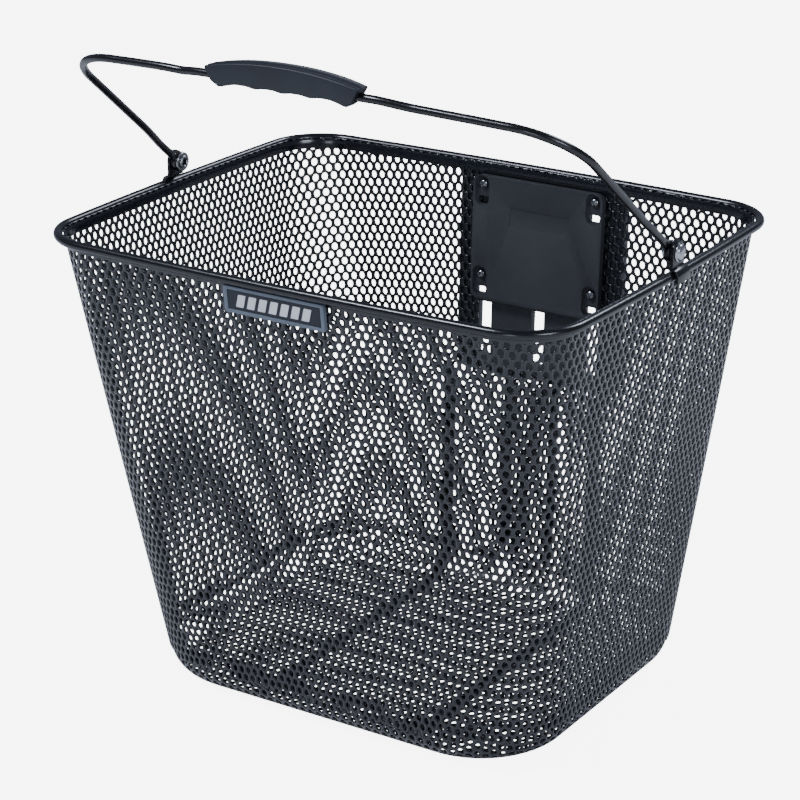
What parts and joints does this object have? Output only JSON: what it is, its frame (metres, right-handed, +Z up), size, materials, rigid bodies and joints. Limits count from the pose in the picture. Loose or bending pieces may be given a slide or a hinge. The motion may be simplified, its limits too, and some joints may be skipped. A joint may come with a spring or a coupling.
{
  "type": "handlebar basket",
  "caption": "Tapering perforated steel basket for a bicycle's handlebar, with a rod rim, a swinging wire bail and grip, and an adapter plate on its back wall.",
  "frame": {"origin": "on the surface the basket stands on, under the middle of the rim", "axes": "+Z up, +X to the right seen from the front, +Y to the back, where the adapter plate is"},
  "size_m": [0.3614, 0.2922, 0.4124],
  "materials": {
    "coated_rod": "satin black powder coat on steel rod and strip",
    "coated_mesh": "satin black powder coat on expanded steel mesh",
    "plate_plastic": "fine-textured black moulded plastic",
    "grip_plastic": "satin dark moulded plastic",
    "badge_plastic": "blue-grey moulded plastic",
    "badge_field": "dark recessed field with plain light bars",
    "bright_zinc": "bright zinc plate",
    "washer_plastic": "black"
  },
  "bodies": {
    "basket": {"rim_ring": "coated_rod", "wall_mesh": "coated_mesh", "bottom_mesh": "coated_mesh", "support_strap_left": "coated_rod", "support_strap_right": "coated_rod", "clamp_plate": "plate_plastic", "adapter_plate": "plate_plastic", "plate_screw_upper_left": "bright_zinc", "plate_screw_upper_right": "bright_zinc", "plate_screw_lower_left": "bright_zinc", "plate_screw_lower_right": "bright_zinc", "plate_nut_upper_left": "bright_zinc", "plate_nut_upper_right": "bright_zinc", "plate_nut_lower_left": "bright_zinc", "plate_nut_lower_right": "bright_zinc", "pivot_bracket_left": "coated_rod", "pivot_rivet_left": "bright_zinc", "outer_washer_left": "washer_plastic", "inner_washer_left": "bright_zinc", "pivot_bracket_right": "coated_rod", "pivot_rivet_right": "bright_zinc", "outer_washer_right": "washer_plastic", "inner_washer_right": "bright_zinc", "badge_frame": "badge_plastic", "badge_field": "badge_field", "badge_clip_left": "badge_plastic", "badge_clip_right": "badge_plastic"},
    "bail": {"bail_wire": "coated_rod"},
    "grip_body": {"grip": "grip_plastic"}
  },
  "joints": [
    {"name": "bail_hinge", "type": "hinge", "parent": "basket", "child": "bail", "pos_m": [0, 0, 0.303], "axis": [1, 0, 0], "range_deg": [-142.5, 40.5]},
    {"name": "grip_turn", "type": "hinge", "parent": "bail", "child": "grip_body", "pos_m": [0, -0.12797, 0.40119], "axis": [1, 0, 0], "range_deg": [-90, 90]}
  ]
}
